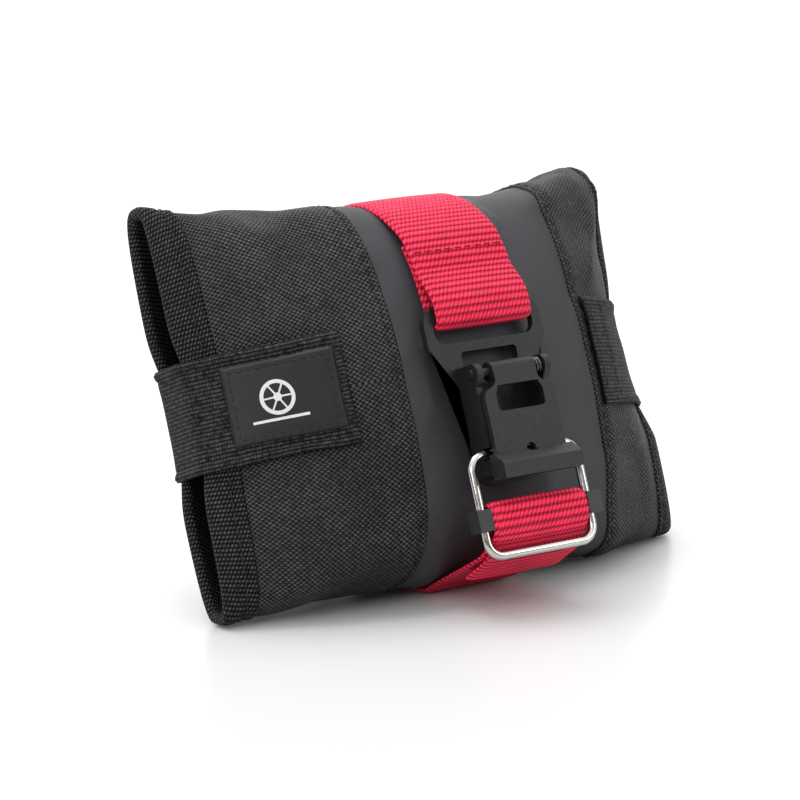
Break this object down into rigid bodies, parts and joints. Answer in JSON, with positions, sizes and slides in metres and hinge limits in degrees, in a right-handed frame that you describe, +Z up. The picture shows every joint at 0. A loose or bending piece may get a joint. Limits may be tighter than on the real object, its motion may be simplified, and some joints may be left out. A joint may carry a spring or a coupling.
{
  "type": "saddle bag",
  "caption": "Strapped saddle bag: a soft cloth tube with bound open ends, elastic closures, a webbing strap, a lever buckle and a wire ring.",
  "frame": {"origin": "middle of the bounding box, on the surface that the bag stands on", "axes": "+X along the tube of cloth from the labelled end to the plain end, -Y out of the buckle side, +Z up; the bag leans back 20 degrees about X"},
  "size_m": [0.1292, 0.0818, 0.0878],
  "materials": {
    "coated_grey": "smooth coated cloth, satin",
    "woven_black": "coarse ballistic weave, matt",
    "binding_tape": "ribbed grosgrain tape, matt",
    "elastic": "ribbed elastic, matt",
    "label_satin": "woven satin",
    "lining": "fine plain weave",
    "red_webbing": "ribbed nylon webbing",
    "anodised_black": "black anodised, bead blasted",
    "spring_steel": "drawn wire",
    "stainless_wire": "polished drawn wire",
    "black_plastic": "moulded, matt"
  },
  "bodies": {
    "bag": {"centre_panel": "coated_grey", "left_end_panel": "woven_black", "right_end_panel": "woven_black", "left_binding": "binding_tape", "right_binding": "binding_tape", "inner_lining": "lining", "front_pocket": "lining", "back_pocket": "lining", "left_elastic": "elastic", "right_elastic": "elastic", "label_patch": "label_satin", "main_strap": "red_webbing", "strap_fold": "red_webbing", "strap_tail": "red_webbing", "strap_keeper": "elastic", "buckle_frame": "anodised_black", "lever_pin": "anodised_black", "lever_spring": "spring_steel"},
    "lever_arm": {"lever": "anodised_black"},
    "ring": {"wire_ring": "stainless_wire"},
    "slider": {"slider_bar": "black_plastic", "strap_wrap": "red_webbing"}
  },
  "joints": [
    {"name": "lever_hinge", "type": "hinge", "parent": "bag", "child": "lever_arm", "pos_m": [-0.0008, -0.02753, 0.0521], "axis": [-1, 0, 0], "range_deg": [0, 110], "stiffness_Nm_per_rad": 0.01},
    {"name": "ring_hinge", "type": "hinge", "parent": "bag", "child": "ring", "pos_m": [-0.0008, -0.03201, 0.03511], "axis": [-1, 0, 0], "range_deg": [0, 15]},
    {"name": "slider_slide", "type": "slide", "parent": "ring", "child": "slider", "axis": [0, 0.342, 0.9397], "range_m": [0, 0.003]}
  ]
}
